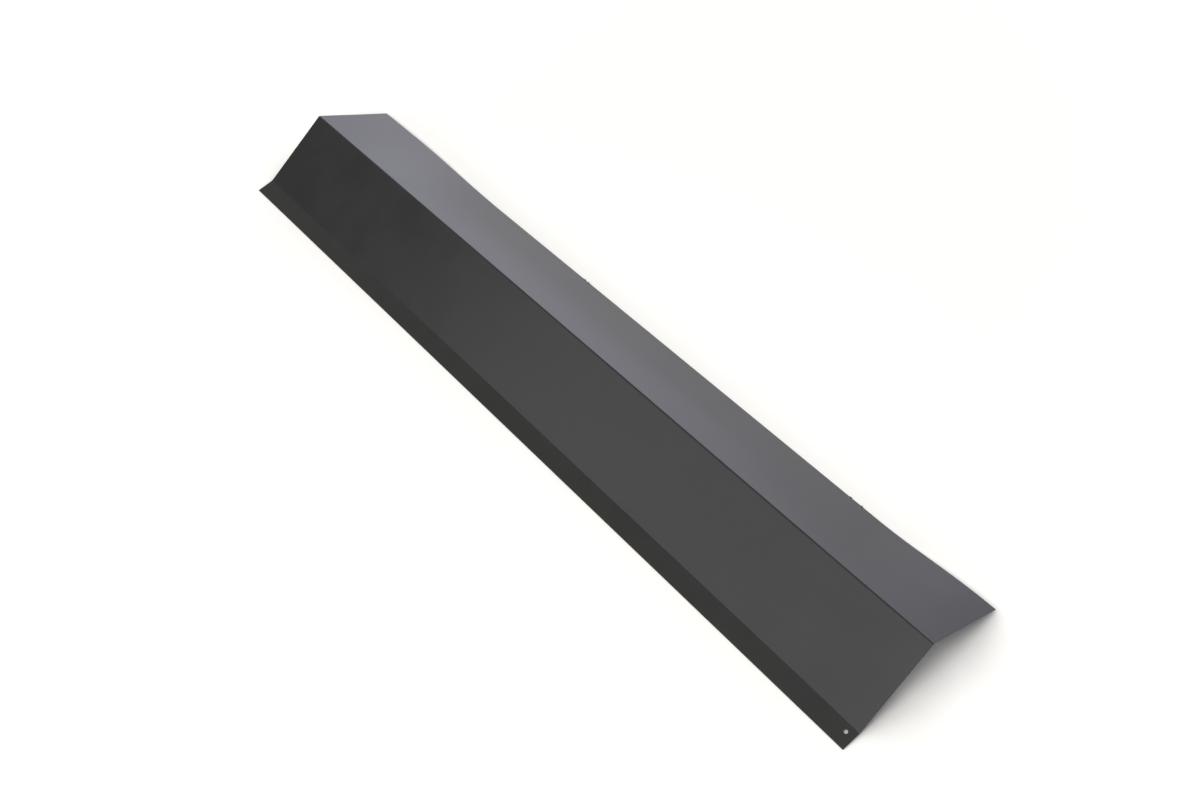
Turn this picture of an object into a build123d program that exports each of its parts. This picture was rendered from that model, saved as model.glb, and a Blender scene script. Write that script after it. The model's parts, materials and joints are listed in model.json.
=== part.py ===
"""Drip edge: one length of folded sheet steel that finishes the eaves of a pitched roof.

On the roof, the wide upper flange lies on the deck under the roof covering, the face hangs
straight down in front of the fascia board, and the kick at its foot throws the water clear.

The section is drawn as it is fitted: u points to the building, v points up, and the outside of
the sheet meets at the sharp corner (0, 0) before the fold is rounded. The solid is then turned
so that it lies as loose stock does, like a low tent with the foot of the kick and the back edge
of the roof flange on the floor.

Frame: X along the length, +Y towards the roof flange, Z up from the floor. The origin is in the
middle of the box on the floor.
"""

import os
from math import atan2, cos, degrees, pi, radians, sin

from build123d import *

# Sheet, in millimetres and degrees
length = 1000.0
sheet_thickness = 0.5
fold_outside_radius = 2.5

# Widths are measured on the outside of the sheet, from sharp corner to sharp corner
roof_flange_width = 102.6
face_height = 100.3
kick_width = 21.1

# Slope of the roof flange when the face hangs plumb, and how far the kick leans out
roof_pitch = 27.7
kick_angle = 22.8

# At both ends the roof flange springs up, as a rolled section does where it is cut off.
# It keeps its full flare over the hold, and eases down to the straight flange over the run.
near_flare_angle = 3.2
near_flare_hold = 10.0
near_flare_run = 130.0
far_flare_angle = 2.5
far_flare_hold = 70.0
far_flare_run = 180.0
flare_sections = 8

# Hanging hole in the near corner of the kick
hanging_hole_diameter = 4.0
hole_to_near_end = 9.5
hole_to_kick_foot = 13.4

# Handling nicks in the back edge of the roof flange, as distances from the near end
nick_places = (161.5, 176.0, 582.0, 588.5)
nick_radius = 1.0
nick_depth = 0.6

# How far below the upper fold the sections of the flange and of the web meet, so that the seam
# between them lies on the flat face
seam_below_fold = 10.0


def polar(angle, distance):
    """The point (u, v) at this distance from the corner, at this angle above level."""
    return (distance * cos(radians(angle)), distance * sin(radians(angle)))


def shifted(point, move):
    """The point moved by another one."""
    return (point[0] + move[0], point[1] + move[1])


# Corners of the fitted section: the outside of the sheet, and the undersides that touch the floor
drip_corner = (0.0, -face_height)
kick_direction = -90 - kick_angle
kick_foot = shifted(drip_corner, polar(kick_direction, kick_width))
kick_foot_under = shifted(kick_foot, polar(kick_direction + 90, sheet_thickness))
back_edge = polar(roof_pitch, roof_flange_width)
back_edge_under = shifted(back_edge, polar(roof_pitch - 90, sheet_thickness))

# Turn that lays both undersides on the floor
rest_turn = degrees(
    atan2(back_edge_under[1] - kick_foot_under[1], back_edge_under[0] - kick_foot_under[0])
)


def lying(point):
    """A point of the fitted section after the turn, as (across, up) from the sharp corner."""
    u, v = point
    turn = radians(rest_turn)
    return (u * cos(turn) + v * sin(turn), v * cos(turn) - u * sin(turn))


# The widest point is the back edge where it flares most
widest_flare = max(near_flare_angle, far_flare_angle)
widest_edge = polar(roof_pitch + widest_flare, roof_flange_width)
ridge_across = -(lying(kick_foot)[0] + lying(widest_edge)[0]) / 2
ridge_height = -lying(kick_foot_under)[1]


def section_plane(x):
    """The plane across the stock at x, whose own axes are u and v."""
    turn = radians(rest_turn)
    return Plane(
        origin=(x, ridge_across, ridge_height),
        x_dir=(0, cos(turn), -sin(turn)),
        z_dir=(1, 0, 0),
    )


def surface_plane(x, point, normal_angle):
    """A plane on the sheet's outside at a section point, facing out along the normal angle."""
    across = section_plane(x)
    normal = polar(normal_angle, 1)
    return Plane(
        origin=across.from_local_coords((point[0], point[1], 0)),
        x_dir=(1, 0, 0),
        z_dir=across.x_dir * normal[0] + across.y_dir * normal[1],
    )


def flange_section(pitch):
    """Top of the face, upper fold and roof flange, for one slope of the flange."""
    with BuildSketch() as profile:
        with BuildLine():
            FilletPolyline(
                (0, -seam_below_fold),
                (0, 0),
                polar(pitch, roof_flange_width),
                radius=fold_outside_radius,
            )
            offset(amount=sheet_thickness, side=Side.RIGHT)
        make_face()
    return profile.sketch


def web_section():
    """Face, drip fold and kick. The drip fold turns the other way, so its inside faces out."""
    with BuildSketch() as profile:
        with BuildLine():
            FilletPolyline(
                (0, -seam_below_fold),
                drip_corner,
                kick_foot,
                radius=fold_outside_radius - sheet_thickness,
            )
            offset(amount=sheet_thickness, side=Side.LEFT)
        make_face()
    return profile.sketch


def eased(share):
    """From 1 at the start of a flare's run to 0 at its end, level at both."""
    return (1 + cos(pi * share)) / 2


near_end = length / 2
far_end = -length / 2
flat_from = far_end + far_flare_hold + far_flare_run
flat_to = near_end - near_flare_hold - near_flare_run

with BuildPart() as drip_edge:
    # Face and kick, straight from end to end
    with BuildSketch(section_plane(far_end)):
        add(web_section())
    extrude(amount=length)

    # Straight middle of the roof flange
    with BuildSketch(section_plane(flat_from)):
        add(flange_section(roof_pitch))
    extrude(amount=flat_to - flat_from)

    # Flared ends of the roof flange: inward is the way from the end to the middle
    for end, inward, angle, hold, run in (
        (near_end, -1, near_flare_angle, near_flare_hold, near_flare_run),
        (far_end, 1, far_flare_angle, far_flare_hold, far_flare_run),
    ):
        with BuildSketch(section_plane(end)):
            add(flange_section(roof_pitch + angle))
        extrude(amount=inward * hold)
        for step in range(flare_sections + 1):
            share = step / flare_sections
            with BuildSketch(section_plane(end + inward * (hold + run * share))):
                add(flange_section(roof_pitch + angle * eased(share)))
        loft()

    # Hanging hole, square to the kick
    hole_centre = shifted(kick_foot, polar(kick_direction + 180, hole_to_kick_foot))
    with Locations(surface_plane(near_end - hole_to_near_end, hole_centre, kick_direction - 90)):
        Hole(radius=hanging_hole_diameter / 2, depth=2 * sheet_thickness)

    # Nicks, as round bites whose centres lie just off the back edge
    nick_centre = polar(roof_pitch, roof_flange_width + nick_radius - nick_depth)
    for place in nick_places:
        with Locations(surface_plane(near_end - place, nick_centre, roof_pitch + 90)):
            Hole(radius=nick_radius, depth=2 * sheet_thickness)

drip_edge.part.label = "drip_edge"
os.makedirs("parts", exist_ok=True)
export_step(drip_edge.part, "parts/drip_edge.step")

print("solids", len(drip_edge.part.solids()), "volume mm3", round(drip_edge.part.volume, 1))
print("box", drip_edge.part.bounding_box())
print("rest turn", round(rest_turn, 3), "ridge across", round(ridge_across, 3))
print("ridge height", round(ridge_height, 3))
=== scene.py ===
# %% [markdown]
# A drip edge is the folded strip of sheet metal along the eaves of a pitched roof. This one is a
# loose length, lying open side down like a low tent. It has a roof flange, a face, and a narrow
# kick along the foot of the face. The steel was folded first and powder-coated afterwards.
#
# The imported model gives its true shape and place, with few facets round the folds. Here the sheet
# is made again at the same sizes, with folds fine enough for a clean highlight, and it gets its
# coat, a floor, soft light and a camera.

# %% Load the frame
import json
from math import atan2, ceil, cos, pi, radians, sin, sqrt, tan

import bmesh
import bpy
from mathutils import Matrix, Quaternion, Vector, noise

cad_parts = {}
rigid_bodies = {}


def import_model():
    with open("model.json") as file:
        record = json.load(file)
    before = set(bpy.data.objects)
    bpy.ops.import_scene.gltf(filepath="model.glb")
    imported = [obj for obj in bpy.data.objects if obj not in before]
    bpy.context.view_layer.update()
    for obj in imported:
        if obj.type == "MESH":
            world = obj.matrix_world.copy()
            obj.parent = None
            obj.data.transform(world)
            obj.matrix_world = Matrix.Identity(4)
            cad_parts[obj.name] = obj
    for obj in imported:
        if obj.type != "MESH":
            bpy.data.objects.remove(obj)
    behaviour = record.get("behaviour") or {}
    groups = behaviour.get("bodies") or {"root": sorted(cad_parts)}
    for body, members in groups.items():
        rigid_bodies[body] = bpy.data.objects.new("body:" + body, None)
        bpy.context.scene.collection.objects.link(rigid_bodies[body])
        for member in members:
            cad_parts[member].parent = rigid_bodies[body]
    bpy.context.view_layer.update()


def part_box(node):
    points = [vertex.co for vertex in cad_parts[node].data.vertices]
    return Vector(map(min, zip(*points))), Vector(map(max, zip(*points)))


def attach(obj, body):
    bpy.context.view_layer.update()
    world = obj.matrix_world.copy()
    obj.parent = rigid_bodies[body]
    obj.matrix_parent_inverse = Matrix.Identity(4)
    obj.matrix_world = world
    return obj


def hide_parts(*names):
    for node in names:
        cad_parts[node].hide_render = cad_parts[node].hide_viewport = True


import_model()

far_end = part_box("drip_edge")[0].x
near_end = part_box("drip_edge")[1].x

# %% [markdown]
# A folded sheet is easiest to think of as a fabricator does: a flat blank, and lines to fold it
# on. The sizes below are those of the fitted section, where the face hangs plumb: u points to
# the building and v points up. All widths are on the outside of the sheet, in metres.

# %% Sizes of the sheet
mm = 0.001

sheet_thickness = 0.5 * mm
roof_flange_width = 102.6 * mm
face_height = 100.3 * mm
kick_width = 21.1 * mm
ridge_outside_radius = 2.5 * mm
drip_outside_radius = 2.0 * mm

roof_pitch = 27.7
kick_angle = 22.8

near_flare_angle = 3.2
near_flare_hold = 10 * mm
near_flare_run = 130 * mm
far_flare_angle = 2.5
far_flare_hold = 70 * mm
far_flare_run = 180 * mm

hole_radius = 2.0 * mm
hole_to_near_end = 9.5 * mm
hole_to_kick_foot = 13.4 * mm

nick_places = [near_end - distance * mm for distance in (161.5, 176.0, 582.0, 588.5)]
nick_radius = 1.0 * mm
nick_depth = 0.6 * mm
burr_height = 1.0 * mm
burr_reach = 1.5 * mm

sheet_length = round((near_end - far_end) / mm)
print("the sheet is", sheet_length, "mm long and", sheet_thickness / mm, "mm thick")

# %% [markdown]
# The section is a walk: up the kick, round the drip fold, up the face, round the ridge and down
# the roof flange. Each fold is an arc that leaves one straight run and meets the next, so the
# walk needs only headings, in degrees, and the corner where two runs would meet.

# %% Walk round the section
def towards(heading, distance=1.0):
    """The step (u, v) of this length along a heading."""
    return Vector((distance * cos(radians(heading)), distance * sin(radians(heading))))


def fold_points(corner, arriving, leaving, radius, steps):
    """Points round a fold, from the tangent point before its corner to the one after it."""
    side = 90 if leaving > arriving else -90
    reach = radius * tan(radians(abs(leaving - arriving)) / 2)
    centre = corner - towards(arriving, reach) + towards(arriving + side, radius)
    headings = [arriving + (leaving - arriving) * step / steps for step in range(steps + 1)]
    return [centre - towards(heading + side, radius) for heading in headings]


drip_facets = 6
face_heading = 90
kick_heading = face_heading - kick_angle
ridge_corner = Vector((0, 0))
drip_corner = Vector((0, -face_height))
kick_foot = drip_corner - towards(kick_heading, kick_width)
drip_fold = fold_points(drip_corner, kick_heading, face_heading, drip_outside_radius, drip_facets)


def flare_at(x):
    """How far the roof flange springs up at x, in degrees."""
    angle = 0.0
    for end, flare, hold, run in (
        (near_end, near_flare_angle, near_flare_hold, near_flare_run),
        (far_end, far_flare_angle, far_flare_hold, far_flare_run),
    ):
        share = min(max((abs(end - x) - hold) / run, 0), 1)
        angle += flare * (1 + cos(pi * share)) / 2
    return angle


print("kick foot, from the ridge corner:", [round(c / mm, 2) for c in kick_foot], "mm")

# %% [markdown]
# Loose stock doesn't stand as it is fitted: it lies with the foot of its kick and the back edge
# of its roof flange on the floor. Both contacts are on the underside of the sheet, so the turn
# is the slope of the line between those two lower corners.

# %% Turn the section onto the floor
kick_foot_under = kick_foot + towards(kick_heading - 90, sheet_thickness)
back_edge = towards(roof_pitch, roof_flange_width)
back_edge_under = back_edge + towards(roof_pitch - 90, sheet_thickness)
floor_line = (back_edge_under - kick_foot_under).normalized()


def lying(point):
    """A point of the fitted section as (across, up), with the ridge corner at (0, 0)."""
    across = point.x * floor_line.x + point.y * floor_line.y
    up = point.y * floor_line.x - point.x * floor_line.y
    return Vector((across, up))


most_flare = max(near_flare_angle, far_flare_angle)
widest_edge = towards(roof_pitch + most_flare, roof_flange_width)
ridge_across = -(lying(kick_foot).x + lying(widest_edge).x) / 2
ridge_height = -lying(kick_foot_under).y


def in_row(x, point):
    """A point of the fitted section at x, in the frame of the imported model."""
    place = lying(point)
    return Vector((x, ridge_across + place.x, ridge_height + place.y))


print("the ridge corner lies", round(ridge_height / mm, 2), "mm above the floor")

# %% [markdown]
# Thin sheet is never quite flat. Roll forming leaves long shallow waves, called oil canning, and
# a satin coat shows them as soft patches of light. A bump in the material could draw them, but
# here they are in the shape, a few tenths of a millimetre high, so that the mesh itself has them.
# The folds hold the sheet straight, so the waves fade out there. A crown is a bow across the
# whole width of a flat, and is added to the waves where one is given.

# %% Long waves in the flats
wave_height = 0.35 * mm
wave_length = 240 * mm
across_turns = 1.7
lane_gap = 7.3


def flat_points(x, start, end, places, lane, crown=0.0):
    """Points across a flat after its start, at places in metres, lifted by waves and crown."""
    width = (end - start).length
    run = (end - start) / width
    outward = Vector((-run.y, run.x))
    points = []
    for place in places:
        share = place / width
        swell = noise.noise(Vector((x / wave_length, lane * lane_gap, share * across_turns)))
        lift = (crown + swell * wave_height) * sin(pi * share)
        points.append(start + run * place + outward * lift)
    return points


print("waves up to", wave_height / mm, "mm high, about", round(wave_length / mm), "mm long")

# %% [markdown]
# The blank is a grid of quads. Its columns are stations along the length, close together only at
# the nicks and round the hanging hole, and its rows are lines across the width. A Boolean would
# be quicker to write for the hole, but it leaves long thin faces that spoil the rounding of the
# cut edge. So a block of cells is left out, and rings of quads close in to the round hole.

# %% Stations along the length and lines across the width
column_spacing = 5 * mm
row_spacing = 8 * mm
kick_spacing = 2 * mm
nick_spacing = 0.3 * mm
nick_cells = 5
edge_row = 1.5 * mm
hole_block = 3.2 * mm
hole_cells = 8

# Keeps a rounding error from adding a step
step_slack = 1e-6


def filled(stops, spacing):
    """The stops in order, with even steps of at most the spacing between them."""
    stops = sorted(stops)
    places = [stops[0]]
    for start, stop in zip(stops, stops[1:]):
        steps = max(1, ceil((stop - start) / spacing - step_slack))
        places += [start + (stop - start) * step / steps for step in range(1, steps + 1)]
    return places


def block_lines(middle):
    """The grid lines of the block round the hole, in one direction."""
    return [middle + hole_block * (2 * line / hole_cells - 1) for line in range(hole_cells + 1)]


hole_x = near_end - hole_to_near_end
stops = {far_end, near_end, *block_lines(hole_x)}
for place in nick_places:
    stops.update(place + nick_spacing * cell for cell in range(-nick_cells, nick_cells + 1))
stations = filled(stops, column_spacing)

kick_run = kick_width - (drip_fold[0] - drip_corner).length
kick_lines = filled([0, kick_run, *block_lines(hole_to_kick_foot)], kick_spacing)
print(len(stations), "stations along the length and", len(kick_lines), "lines across the kick")


# %% [markdown]
# At each station the section is drawn with that station's own pitch, which is all that a flare
# is. The back edge steps in where the real one is nicked, and turns up there in a small burr, as
# metal does when it is knocked. The roof flange also bows up in its middle, by a millimetre or
# so. The bow fades out at the two cut ends, so it doesn't bend their outlines.

# %% Draw the section at each station
ridge_facets = 10
flange_crown = 1.2 * mm

# The curve of the crown is share**2 * (1 - share), which is 4 / 27 at its highest
crown_scale = 27 / 4


def bite_at(x):
    """How deep the back edge is nicked at x."""
    depth = 0.0
    for place in nick_places:
        away = abs(x - place)
        if away < nick_radius:
            depth = max(depth, sqrt(nick_radius**2 - away**2) - (nick_radius - nick_depth))
    return depth


def burr_at(x):
    """How far the nicked edge is turned up at x."""
    away = min(abs(x - place) for place in nick_places)
    return burr_height * max(0, 1 - (away / burr_reach) ** 2)


def crown_at(x):
    """How far the roof flange bows up in its middle at x, most at two thirds of the way."""
    share = (near_end - x) / (near_end - far_end)
    return flange_crown * crown_scale * share**2 * (1 - share)


def section_at(x):
    """The outside of the sheet at x, from the foot of the kick to the back edge."""
    pitch = roof_pitch + flare_at(x)
    ridge_fold = fold_points(ridge_corner, face_heading, pitch, ridge_outside_radius, ridge_facets)
    edge = towards(pitch, roof_flange_width)

    face_run = (ridge_fold[0] - drip_fold[-1]).length
    flange_run = (edge - ridge_fold[-1]).length
    face_lines = filled([0, face_run], row_spacing)[1:-1]
    flange_lines = filled([0, flange_run - edge_row], row_spacing)[1:]

    points = [kick_foot + towards(kick_heading, line) for line in kick_lines]
    points += drip_fold[1:]
    points += flat_points(x, drip_fold[-1], ridge_fold[0], face_lines, lane=1)
    points += ridge_fold
    points += flat_points(x, ridge_fold[-1], edge, flange_lines, lane=2, crown=crown_at(x))
    points.append(edge - towards(pitch, bite_at(x)) + towards(pitch + 90, burr_at(x)))
    return points


sections = [section_at(x) for x in stations]
print(len(sections[0]), "points in each section, all the same:", len(set(map(len, sections))) == 1)

# %% [markdown]
# Quads now join the points of each station to those of the next. The hole's block is left out,
# and four rings of quads lead from its square outline in to the hole, each rounder than the last.

# %% Join the sections to a sheet, with a hole in the kick
ring_shares = (0.3, 0.58, 0.82, 1.0)


def hole_rings(sheet, corners):
    """Rings of quads from the square of corners in to the hole. Corners run round the square."""
    outer = corners
    for share in ring_shares:
        inner = []
        for x, line in (corner[0] for corner in corners):
            turn = atan2(line - hole_to_kick_foot, x - hole_x)
            round_x = hole_x + hole_radius * cos(turn)
            round_line = hole_to_kick_foot + hole_radius * sin(turn)
            ring_x = x + (round_x - x) * share
            ring_line = line + (round_line - line) * share
            point = kick_foot + towards(kick_heading, ring_line)
            inner.append(((x, line), sheet.verts.new(in_row(ring_x, point))))
        for this in range(len(corners)):
            after = (this + 1) % len(corners)
            sheet.faces.new((outer[this][1], outer[after][1], inner[after][1], inner[this][1]))
        outer = inner


def folded_sheet():
    """The outside surface of the sheet, as one grid with the hole's block of cells left out."""
    sheet = bmesh.new()
    first_column = stations.index(block_lines(hole_x)[0])
    first_row = kick_lines.index(block_lines(hole_to_kick_foot)[0])
    block = range(hole_cells)

    grid = []
    for column, (x, section) in enumerate(zip(stations, sections)):
        verts = []
        for row, point in enumerate(section):
            inside = column - first_column in block[1:] and row - first_row in block[1:]
            verts.append(None if inside else sheet.verts.new(in_row(x, point)))
        grid.append(verts)

    for column in range(len(stations) - 1):
        for row in range(len(sections[0]) - 1):
            if column - first_column in block and row - first_row in block:
                continue
            near, far = grid[column + 1], grid[column]
            sheet.faces.new((far[row], near[row], near[row + 1], far[row + 1]))

    steps = [(1, 0)] * hole_cells + [(0, 1)] * hole_cells
    steps += [(-1, 0)] * hole_cells + [(0, -1)] * hole_cells
    column, row = first_column, first_row
    corners = []
    for column_step, row_step in steps:
        corners.append(((stations[column], kick_lines[row]), grid[column][row]))
        column += column_step
        row += row_step
    hole_rings(sheet, corners)
    return sheet


sheet = folded_sheet()
mesh = bpy.data.meshes.new("folded_sheet")
sheet.to_mesh(mesh)
sheet.free()
mesh.shade_smooth()
folded_steel = bpy.data.objects.new("folded_steel", mesh)
bpy.context.scene.collection.objects.link(folded_steel)
print("the outside of the sheet has", len(mesh.polygons), "faces")

# %% [markdown]
# Three modifiers finish the sheet. Solidify gives it its thickness, towards the underside, so
# the outside keeps its size. Bevel rounds the cut edges, because a powder coat draws back from a
# sharp corner as it flows. Weighted Normal keeps the flats flat right up to that small round.

# %% Thickness and rounded cut edges
cut_edge_round = 0.12 * mm
cut_edge_segments = 3
sharpest_fold = radians(50)

solidify = folded_steel.modifiers.new("sheet thickness", "SOLIDIFY")
solidify.thickness = sheet_thickness
solidify.offset = -1
solidify.use_even_offset = True

bevel = folded_steel.modifiers.new("coated cut edges", "BEVEL")
bevel.limit_method = "ANGLE"
bevel.angle_limit = sharpest_fold
bevel.width = cut_edge_round
bevel.segments = cut_edge_segments

weighted = folded_steel.modifiers.new("flat flats", "WEIGHTED_NORMAL")
weighted.keep_sharp = True
print("modifiers, in order:", [modifier.name for modifier in folded_steel.modifiers])

# %% [markdown]
# Two nibs stand in the coat, where a grain of dust was baked in: one on the kick and one on the
# face. They are low domes, so they catch light as the real ones do.

# %% Nibs in the coat
nib_radius = 0.7 * mm
nib_height = 0.3 * mm
nib_rings = 4
nib_sides = 14
kick_nib_to_near_end = 234 * mm
kick_nib_to_foot = 6.2 * mm
face_nib_to_near_end = 895.5 * mm
face_nib_below_ridge = 30 * mm

on_kick = kick_foot + towards(kick_heading, kick_nib_to_foot)
on_face = Vector((0, -face_nib_below_ridge))
kick_nib = (near_end - kick_nib_to_near_end, on_kick, kick_heading)
face_nib = (near_end - face_nib_to_near_end, on_face, face_heading)


def add_nib(nibs, x, point, heading):
    """A low dome on the outside of the sheet."""
    top = nibs.verts.new(in_row(x, point + towards(heading + 90, nib_height)))
    inner = [top] * nib_sides
    for ring in range(1, nib_rings + 1):
        share = ring / nib_rings
        outer = []
        for side in range(nib_sides):
            turn = 2 * pi * side / nib_sides
            lift = nib_height * (1 - share**2)
            along = towards(heading, nib_radius * share * sin(turn))
            place = point + along + towards(heading + 90, lift)
            outer.append(nibs.verts.new(in_row(x + nib_radius * share * cos(turn), place)))
        for side in range(nib_sides):
            after = (side + 1) % nib_sides
            corners = [inner[side], outer[side], outer[after]]
            if inner[after] is not inner[side]:
                corners.append(inner[after])
            nibs.faces.new(corners)
        inner = outer


nibs = bmesh.new()
for nib in (kick_nib, face_nib):
    add_nib(nibs, *nib)
nib_mesh = bpy.data.meshes.new("coat_nibs")
nibs.to_mesh(nib_mesh)
nibs.free()
nib_mesh.shade_smooth()
coat_nibs = bpy.data.objects.new("coat_nibs", nib_mesh)
bpy.context.scene.collection.objects.link(coat_nibs)
print("nibs have", len(nib_mesh.polygons), "faces")

# %% [markdown]
# The finish is a polyester powder coat in a satin anthracite. The powder melts on the hot part
# and flows into a film about 70 thousandths of a millimetre thick. It covers the steel wholly,
# so the shader is a plastic and not a metal: a nearly black body colour under a clear skin with
# the IOR of resin. Most of what the eye sees is that skin, mirroring a blurred studio.

# %% Helpers for colours and nodes
def linear(hex_colour):
    """An sRGB hex colour as linear RGBA."""
    channels = [int(hex_colour[place : place + 2], 16) / 255 for place in (1, 3, 5)]
    bright = [c / 12.92 if c <= 0.04045 else ((c + 0.055) / 1.055) ** 2.4 for c in channels]
    return (*bright, 1.0)


def add_node(tree, kind, inputs=None, **settings):
    """Adds a node with its settings. Inputs are values, or the sockets that feed them."""
    node = tree.nodes.new(kind)
    for name, value in settings.items():
        setattr(node, name, value)
    for name, value in (inputs or {}).items():
        if isinstance(value, bpy.types.NodeSocket):
            tree.links.new(value, node.inputs[name])
        else:
            node.inputs[name].default_value = value
    return node


def per_metre(size):
    """The scale that makes a noise pattern about this size, in metres."""
    return 1 / size


print("the sRGB grey #808080 in linear colour:", [round(c, 4) for c in linear("#808080")])

# %% [markdown]
# Two things break up the film. Where it ran thicker it is a shade darker and glossier, in clouds
# some centimetres wide. And it sets with orange peel, a fine ripple about two millimetres from
# crest to crest. The render can't show a ripple that fine, so it is drawn three millimetres wide.

# %% Satin powder coat
body_colour = linear("#2b2b2a")
thin_film_colour = linear("#2f2f2e")
resin_ior = 1.5
satin_roughness = (0.24, 0.27)
cloud_size = 60 * mm
cloud_detail = 4.0
cloud_roughness = 0.55
cloud_range = (0.3, 0.7)
peel_size = 3 * mm
peel_detail = 2.0
peel_height = 0.004 * mm


def powder_coat():
    """The satin anthracite powder coat on every side of the sheet."""
    material = bpy.data.materials.new("satin_powder_coat")
    material.use_nodes = True
    tree = material.node_tree
    tree.nodes.clear()

    place = add_node(tree, "ShaderNodeTexCoord").outputs["Object"]
    clouds = add_node(
        tree,
        "ShaderNodeTexNoise",
        {
            "Vector": place,
            "Scale": per_metre(cloud_size),
            "Detail": cloud_detail,
            "Roughness": cloud_roughness,
        },
    )
    thinness = add_node(
        tree,
        "ShaderNodeMapRange",
        {
            "Value": clouds.outputs["Fac"],
            "From Min": cloud_range[0],
            "From Max": cloud_range[1],
        },
        interpolation_type="SMOOTHSTEP",
    )
    colour = add_node(
        tree,
        "ShaderNodeMix",
        {"Factor": thinness.outputs["Result"], "A": body_colour, "B": thin_film_colour},
        data_type="RGBA",
    )
    roughness = add_node(
        tree,
        "ShaderNodeMapRange",
        {
            "Value": thinness.outputs["Result"],
            "To Min": satin_roughness[0],
            "To Max": satin_roughness[1],
        },
    )
    peel = add_node(
        tree,
        "ShaderNodeTexNoise",
        {"Vector": place, "Scale": per_metre(peel_size), "Detail": peel_detail},
    )
    ripple = add_node(
        tree,
        "ShaderNodeBump",
        {"Height": peel.outputs["Fac"], "Distance": peel_height, "Strength": 1.0},
    )
    shader = add_node(
        tree,
        "ShaderNodeBsdfPrincipled",
        {
            "Base Color": colour.outputs["Result"],
            "Roughness": roughness.outputs["Result"],
            "IOR": resin_ior,
            "Normal": ripple.outputs["Normal"],
        },
    )
    add_node(tree, "ShaderNodeOutputMaterial", {"Surface": shader.outputs["BSDF"]})
    return material


satin_powder_coat = powder_coat()
folded_steel.data.materials.append(satin_powder_coat)
coat_nibs.data.materials.append(satin_powder_coat)
print("anthracite in linear colour:", [round(c, 4) for c in body_colour])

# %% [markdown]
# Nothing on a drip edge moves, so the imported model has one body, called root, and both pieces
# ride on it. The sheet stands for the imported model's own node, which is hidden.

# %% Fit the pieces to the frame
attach(folded_steel, "root")
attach(coat_nibs, "root")
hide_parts("drip_edge")
print("pieces on the root body:", folded_steel.name, "and", coat_nibs.name)

# %% [markdown]
# The set is a sweep of pale paper, a shade warm so that its shadows don't turn blue. A little
# glow is added for rays from the camera, from a reflection or through glass, so that the open
# floor clips to white with no more light on the object. The glow rises with the distance, because
# the lamps light the paper less there. Ambient Occlusion holds it back where the sheet is close,
# or else it would wash out the dark shadow at the open end.

# %% Floor
floor_size = 12.0
paper_colour = linear("#f1efe6")
glow_near = 0.36
glow_far = 1.0
glow_rise = (0.45, 4.0)
shadow_reach = 60 * mm
shadow_depth = 4.0


def seen_directly(tree):
    """1 for rays from the camera, from a reflection or through glass, and 0 for the rest."""
    path = add_node(tree, "ShaderNodeLightPath").outputs
    glossy = add_node(
        tree,
        "ShaderNodeMath",
        {0: path["Is Camera Ray"], 1: path["Is Glossy Ray"]},
        operation="MAXIMUM",
    )
    both = add_node(
        tree,
        "ShaderNodeMath",
        {0: glossy.outputs[0], 1: path["Is Transmission Ray"]},
        operation="MAXIMUM",
    )
    return both.outputs[0]


def paper():
    """Pale paper that the camera sees brighter than it is lit, but for the contact shadow."""
    material = bpy.data.materials.new("pale_paper")
    material.use_nodes = True
    tree = material.node_tree
    tree.nodes.clear()
    open_sky = add_node(tree, "ShaderNodeAmbientOcclusion", {"Distance": shadow_reach})
    glow_share = add_node(
        tree,
        "ShaderNodeMath",
        {0: open_sky.outputs["AO"], 1: shadow_depth},
        operation="POWER",
    )
    place = add_node(tree, "ShaderNodeTexCoord").outputs["Object"]
    away = add_node(tree, "ShaderNodeVectorMath", {0: place}, operation="LENGTH")
    glow_here = add_node(
        tree,
        "ShaderNodeMapRange",
        {
            "Value": away.outputs["Value"],
            "From Min": glow_rise[0],
            "From Max": glow_rise[1],
            "To Min": glow_near,
            "To Max": glow_far,
        },
    )
    level = add_node(
        tree,
        "ShaderNodeMath",
        {0: glow_share.outputs[0], 1: glow_here.outputs["Result"]},
        operation="MULTIPLY",
    )
    strength = add_node(
        tree,
        "ShaderNodeMath",
        {0: seen_directly(tree), 1: level.outputs[0]},
        operation="MULTIPLY",
    )
    glow = add_node(tree, "ShaderNodeEmission", {"Strength": strength.outputs[0]})
    matt = add_node(tree, "ShaderNodeBsdfDiffuse", {"Color": paper_colour})
    both = add_node(tree, "ShaderNodeAddShader", {0: matt.outputs[0], 1: glow.outputs[0]})
    add_node(tree, "ShaderNodeOutputMaterial", {"Surface": both.outputs[0]})
    return material


bpy.ops.mesh.primitive_plane_add(size=floor_size, location=(0, 0, 0))
floor = bpy.context.object
floor.name = "floor"
floor.data.materials.append(paper())
print("the floor is", floor_size, "m wide, and its glow goes from", glow_near, "to", glow_far)

# %% [markdown]
# The studio has pale walls under a dark ceiling, as in a room with its ceiling unlit. The roof
# flange mirrors the walls, at a low angle, and so looks pale. The backdrop behind the far end is
# lit more than the rest, so the flange is palest there, and all the walls are dimmer just above
# the floor. The kick mirrors the ceiling, which has a faint glow overhead. Each part of the room
# is a direction and a fade: how far a ray has to point along it to be inside, and to be outside.

# %% Studio walls and ceiling
wall_light = 1.65
upward = Vector((0.0, 0.0, 1.0))
horizon_share = 0.3
horizon_fade = (0.0, 0.15)
wall_colour = linear("#efefff")
backdrop_light = 1.95
backdrop_way = Vector((-0.55, 0.835, 0.0))
backdrop_fade = (0.985, 0.94)

ceiling_light = 0.25
overhead_light = 0.22
overhead_colour = linear("#fffcf7")
overhead_way = Vector((-0.52, 0.1, 0.85))
overhead_fade = (0.94, 0.77)

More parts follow.
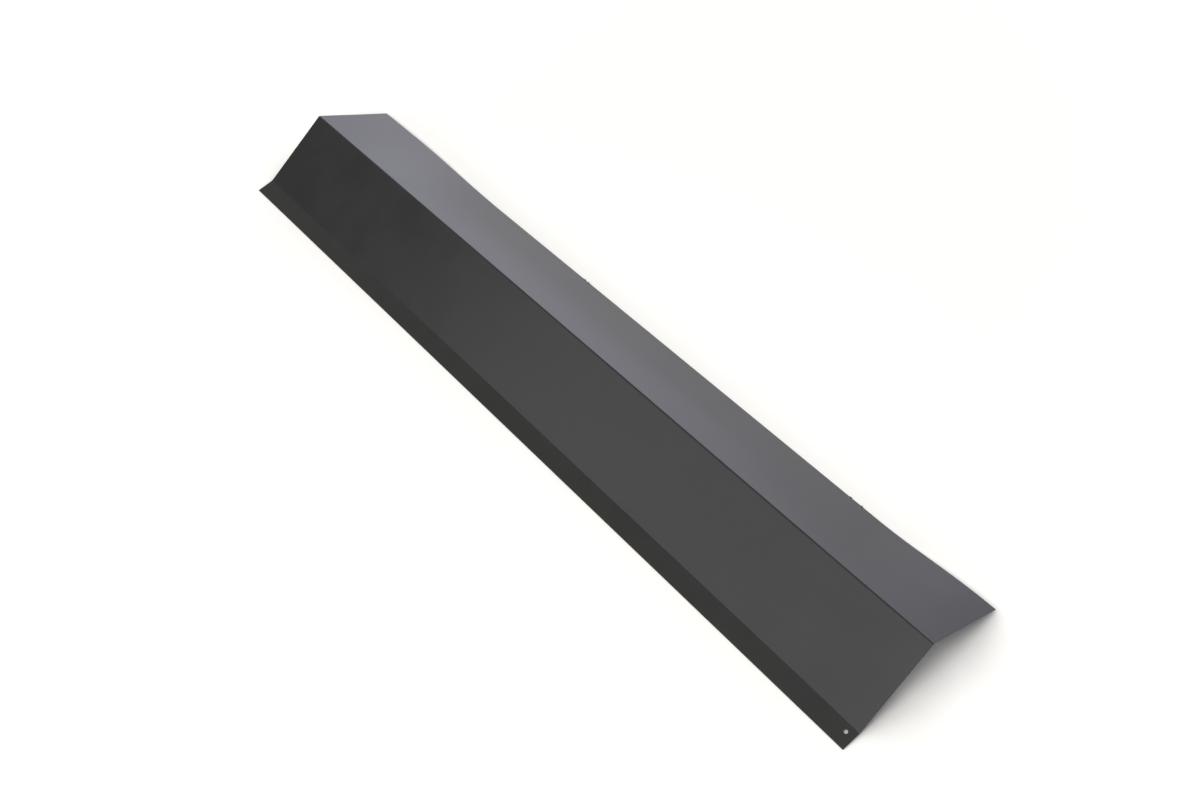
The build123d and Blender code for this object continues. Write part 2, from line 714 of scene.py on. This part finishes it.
# The tilt makes the walls reach higher behind the sheet than in front of it
wall_tilt = Vector((0.0, -0.35, 1.0))
wall_fade = (0.05, 0.35)


def studio_level(tree, direction, axis, fade, inside, outside):
    """The level inside a part of the room, easing over its fade to the level outside it."""
    along = add_node(
        tree,
        "ShaderNodeVectorMath",
        {0: direction, 1: axis},
        operation="DOT_PRODUCT",
    )
    level = add_node(
        tree,
        "ShaderNodeMapRange",
        {
            "Value": along.outputs["Value"],
            "From Min": fade[0],
            "From Max": fade[1],
            "To Min": inside,
            "To Max": outside,
        },
        interpolation_type="SMOOTHSTEP",
    )
    return level.outputs["Result"]


def studio():
    """The world: pale walls under a dark ceiling, and plain white to the camera."""
    world = bpy.data.worlds.new("studio")
    world.use_nodes = True
    tree = world.node_tree
    tree.nodes.clear()
    direction = add_node(tree, "ShaderNodeTexCoord").outputs["Generated"]
    backdrop = studio_level(tree, direction, backdrop_way, backdrop_fade, backdrop_light, 0.0)
    lit_walls = add_node(tree, "ShaderNodeMath", {0: backdrop, 1: wall_light}, operation="ADD")
    horizon = studio_level(tree, direction, upward, horizon_fade, horizon_share, 1.0)
    walls = add_node(
        tree,
        "ShaderNodeMath",
        {0: lit_walls.outputs[0], 1: horizon},
        operation="MULTIPLY",
    )
    overhead = studio_level(tree, direction, overhead_way, overhead_fade, 1.0, 0.0)
    ceiling = add_node(
        tree,
        "ShaderNodeMath",
        {0: overhead, 1: overhead_light, 2: ceiling_light},
        operation="MULTIPLY_ADD",
    )
    on_walls = studio_level(tree, direction, wall_tilt, wall_fade, 1.0, 0.0)
    level = add_node(
        tree,
        "ShaderNodeMix",
        {"Factor": on_walls, "A": ceiling.outputs[0], "B": walls.outputs[0]},
        data_type="FLOAT",
    )
    colour = add_node(
        tree,
        "ShaderNodeMix",
        {"Factor": overhead, "A": wall_colour, "B": overhead_colour},
        data_type="RGBA",
    )
    room = add_node(
        tree,
        "ShaderNodeBackground",
        {"Color": colour.outputs["Result"], "Strength": level.outputs["Result"]},
    )
    white = add_node(tree, "ShaderNodeBackground", {"Color": (1, 1, 1, 1), "Strength": 1.0})
    camera_ray = add_node(tree, "ShaderNodeLightPath").outputs["Is Camera Ray"]
    seen = add_node(
        tree,
        "ShaderNodeMixShader",
        {0: camera_ray, 1: room.outputs[0], 2: white.outputs[0]},
    )
    add_node(tree, "ShaderNodeOutputWorld", {"Surface": seen.outputs[0]})
    return world


bpy.context.scene.world = studio()
print("walls at", wall_light, "and the ceiling at", ceiling_light)

# %% [markdown]
# Two soft boxes do the rest. A wide one stands in front, and the face mirrors it. A small one
# hangs high in front of the near end, and shapes the shadow on the paper at the open end. The
# wattage comes from the area, so a box of another size would look as bright.

# %% Soft boxes
# Each has its place, its width and height in metres, and its brightness
front_box = (Vector((-0.25, -2.6, 2.4)), (5.2, 2.2), 1.12)
top_box = (Vector((0.5, -0.95, 2.8)), (1.2, 1.2), 6.2)


def add_soft_box(name, place, size, brightness):
    """A rectangular area light aimed at the object, as bright all over as the value given."""
    light = bpy.data.lights.new(name, "AREA")
    light.shape = "RECTANGLE"
    light.size, light.size_y = size
    light.energy = brightness * pi * size[0] * size[1]
    box = bpy.data.objects.new(name, light)
    box.location = place
    box.rotation_mode = "QUATERNION"
    box.rotation_quaternion = (-place).to_track_quat("-Z", "Y")
    bpy.context.scene.collection.objects.link(box)
    print(name, "gives", round(light.energy, 1), "W")


add_soft_box("front_box", *front_box)
add_soft_box("top_box", *top_box)

# %% [markdown]
# The camera stands over the near end and looks down along the length. Its place, its roll and
# the length of its lens were worked out from where the eight corners of the sheet lie in the
# picture, so the edges of the render run as they should without any trial.

# %% Camera
camera_place = Vector((0.8031, -0.4860, 1.1069))
camera_target = Vector((0.0777, -0.0169, 0.03))
camera_roll = -8.8
lens_length = 40.2
sensor_width = 36

camera = bpy.data.objects.new("camera", bpy.data.cameras.new("camera"))
camera.data.lens = lens_length
camera.data.sensor_width = sensor_width
camera.location = camera_place
camera.rotation_mode = "QUATERNION"
aim = (camera_target - camera_place).to_track_quat("-Z", "Y")
camera.rotation_quaternion = aim @ Quaternion((0, 0, 1), radians(camera_roll))
bpy.context.scene.collection.objects.link(camera)
bpy.context.scene.camera = camera
print("the camera is", round(camera_place.z, 2), "m up, with a", lens_length, "mm lens")

# %% [markdown]
# Last comes the plain view transform, under which a colour shows as it was written.

# %% Finish
bpy.context.scene.view_settings.view_transform = "Standard"
